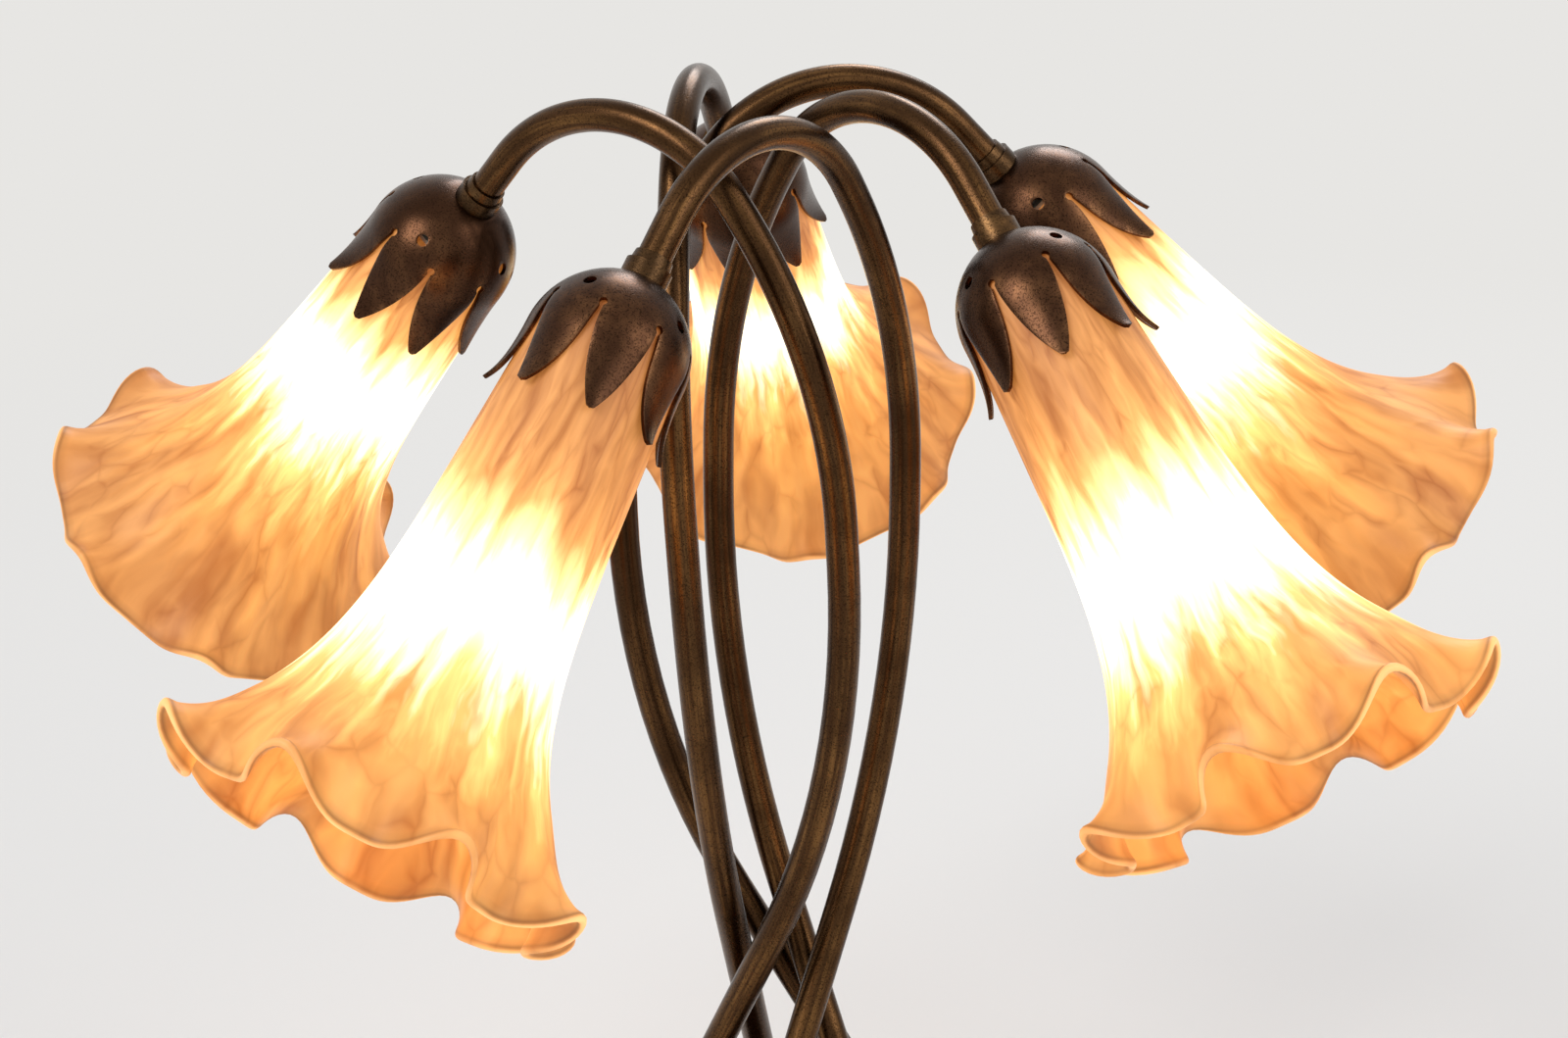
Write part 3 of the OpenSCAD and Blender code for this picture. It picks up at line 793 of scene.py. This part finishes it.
def bulb(i, material):
    """Candle bulb: a neck that swells to the belly, then a long taper to a round tip."""
    belly = BELLY_SHARE * BULB_LEN_MM
    profile = [(0, BULB_T_MM)]
    for v in np.linspace(0, 1, 14):
        swell = (BULB_R_MM - BULB_NECK_R_MM) * math.sin(math.pi / 2 * v)
        profile.append((BULB_NECK_R_MM + swell, BULB_T_MM + belly * v))
    for v in np.linspace(0, 1, 22)[1:-1]:
        taper = BULB_R_MM * math.cos(math.pi / 2 * v) ** TIP_POWER
        profile.append((taper, BULB_T_MM + belly + (BULB_LEN_MM - belly) * v))
    profile.append((0, BULB_T_MM + BULB_LEN_MM))
    obj = lathe(f"bulb_{i + 1}.glass", [(r * MM, z * MM) for r, z in profile])
    settle(obj, shade_frame(i))
    obj.data.materials.append(material)
    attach(obj, f"bulb_{i + 1}")
    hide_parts(f"bulb_glass_{i + 1}")


# ---------- camera, floor and light ----------

# the camera that was fitted to the photograph
FRAME_W = 1600
SENSOR_MM = 36
FOCAL_PX = 3160.8
CENTRE_X_PX = -18.95
CAMERA_AWAY_MM = 920.0
CAMERA_UP = 19.65
CAMERA_ROLL = -1.73
TARGET_Z_MM = 342.8


def camera():
    data = bpy.data.cameras.new("camera")
    data.sensor_width = SENSOR_MM
    data.lens = SENSOR_MM * FOCAL_PX / FRAME_W
    data.shift_x = -CENTRE_X_PX / FRAME_W
    data.clip_end = 50
    obj = bpy.data.objects.new("camera", data)
    bpy.context.scene.collection.objects.link(obj)
    back = Vector((0, -cos_deg(CAMERA_UP), sin_deg(CAMERA_UP)))
    level = Vector((1, 0, 0))
    rise = back.cross(level)
    right = cos_deg(CAMERA_ROLL) * level + sin_deg(CAMERA_ROLL) * rise
    up = cos_deg(CAMERA_ROLL) * rise - sin_deg(CAMERA_ROLL) * level
    place = Vector((0, 0, TARGET_Z_MM * MM)) + back * CAMERA_AWAY_MM * MM
    obj.matrix_world = Matrix((right, up, back)).transposed().to_4x4()
    obj.matrix_world.translation = place
    bpy.context.scene.camera = obj


GROUND = (0.8, 0.79, 0.77, 1)
# half the floor's side, and how far out it has turned to the even ground, in metres
FLOOR_HALF = 20.0
FLOOR_SPAN = 2.0


def seen_rays(tree):
    """1 for the rays in which the ground is seen, straight or in metal and glass; 0 for its light."""
    rays = tree.nodes.new("ShaderNodeLightPath").outputs
    seen = rays["Is Camera Ray"]
    for kind in ("Is Glossy Ray", "Is Transmission Ray"):
        either = tree.nodes.new("ShaderNodeMath")
        either.operation = "MAXIMUM"
        tree.links.new(seen, either.inputs[0])
        tree.links.new(rays[kind], either.inputs[1])
        seen = either.outputs[0]
    return seen


def floor():
    """Pale floor that keeps the shadows near the lamp and turns to the even ground further out."""
    s = FLOOR_HALF
    obj = mesh_object("floor", [(-s, -s, 0), (s, -s, 0), (s, s, 0), (-s, s, 0)], [(0, 1, 2, 3)])
    g = Graph("floor")
    g.set("Base Color", (0.82, 0.81, 0.79, 1))
    g.set("Roughness", 0.9)
    out = g.add("ShaderNodeVectorMath")
    out.operation = "LENGTH"
    g.link(g.object_coords(), out.inputs[0])
    seen = seen_rays(g.tree)
    ground = g.add("ShaderNodeEmission")
    ground.inputs["Color"].default_value = GROUND
    blend = g.add("ShaderNodeMixShader")
    far = g.ramp(g.math("DIVIDE", out.outputs["Value"], FLOOR_SPAN), (0.2, 0.0), (0.8, 1.0))
    g.link(g.math("MULTIPLY", seen, far), blend.inputs[0])
    g.link(g.shader.outputs[0], blend.inputs[1])
    g.link(ground.outputs[0], blend.inputs[2])
    g.link(blend.outputs[0], g.out.inputs[0])
    obj.data.materials.append(g.material)


LIGHT_AIM = Vector((0, 0, 0.3))


def area_light(name, place, size, watts):
    data = bpy.data.lights.new(name, "AREA")
    data.size = size
    data.energy = watts
    obj = bpy.data.objects.new(name, data)
    bpy.context.scene.collection.objects.link(obj)
    obj.location = place
    obj.rotation_euler = (LIGHT_AIM - obj.location).to_track_quat("-Z", "Y").to_euler()


def light():
    world = bpy.data.worlds.new("studio")
    bpy.context.scene.world = world
    world.use_nodes = True
    tree = world.node_tree
    tree.nodes.clear()
    sky, ground = (tree.nodes.new("ShaderNodeBackground") for _ in range(2))
    sky.inputs["Color"].default_value = (0.93, 0.95, 1, 1)
    sky.inputs["Strength"].default_value = 0.45
    ground.inputs["Color"].default_value = GROUND
    blend = tree.nodes.new("ShaderNodeMixShader")
    tree.links.new(seen_rays(tree), blend.inputs[0])
    tree.links.new(sky.outputs[0], blend.inputs[1])
    tree.links.new(ground.outputs[0], blend.inputs[2])
    tree.links.new(blend.outputs[0], tree.nodes.new("ShaderNodeOutputWorld").inputs[0])
    area_light("key", (-1.9, -1.8, 2.5), 1.5, 52)
    area_light("fill", (2.3, -1.3, 1.7), 1.7, 22)
    area_light("rim", (0.7, 2.3, 2.1), 1.2, 30)


# ---------- the lamp ----------

def dress(node, material):
    """Gives a construction node its finish."""
    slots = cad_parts[node].data.materials
    if len(slots):
        for k in range(len(slots)):
            slots[k] = material
    else:
        slots.append(material)


def build():
    tube, cap, cast = tube_bronze(), cap_bronze(), cast_bronze()
    glass, lit = amber_glass(), lit_bulb()
    brass = plain_finish("plain_brass", (0.6, 0.42, 0.18), 1.0, 0.3)
    cream = plain_finish("cream_moulding", (0.72, 0.66, 0.52), 0.0, 0.45)
    steel = plain_finish("zinc_steel", (0.5, 0.5, 0.49), 1.0, 0.4)
    black = plain_finish("black_moulding", (0.02, 0.02, 0.02), 0.0, 0.4)
    iron = plain_finish("rough_iron", (0.05, 0.05, 0.05), 0.6, 0.6, 300.0, 0.4)
    for i in range(COUNT):
        n = i + 1
        stem(i, tube)
        leaf_cap(i, cap)
        glass_shade(i, glass)
        bulb(i, lit)
        dress(f"cap_collar_{n}", cast)
        dress(f"cap_locknut_{n}", brass)
        dress(f"lampholder_{n}", cream)
        dress(f"shade_ring_{n}", cream)
        dress(f"bulb_cap_{n}", brass)
    dress("base_casting", cast)
    dress("stem_collars", cast)
    dress("cap_nut", cast)
    dress("stem_locknuts", brass)
    dress("cover_plate", steel)
    dress("tie_bolt", steel)
    dress("base_weight", iron)
    dress("inlet_bushing", black)
    dress("felt_pad", felt())


bpy.context.scene.view_settings.view_transform = "Standard"
camera()
floor()
light()
build()
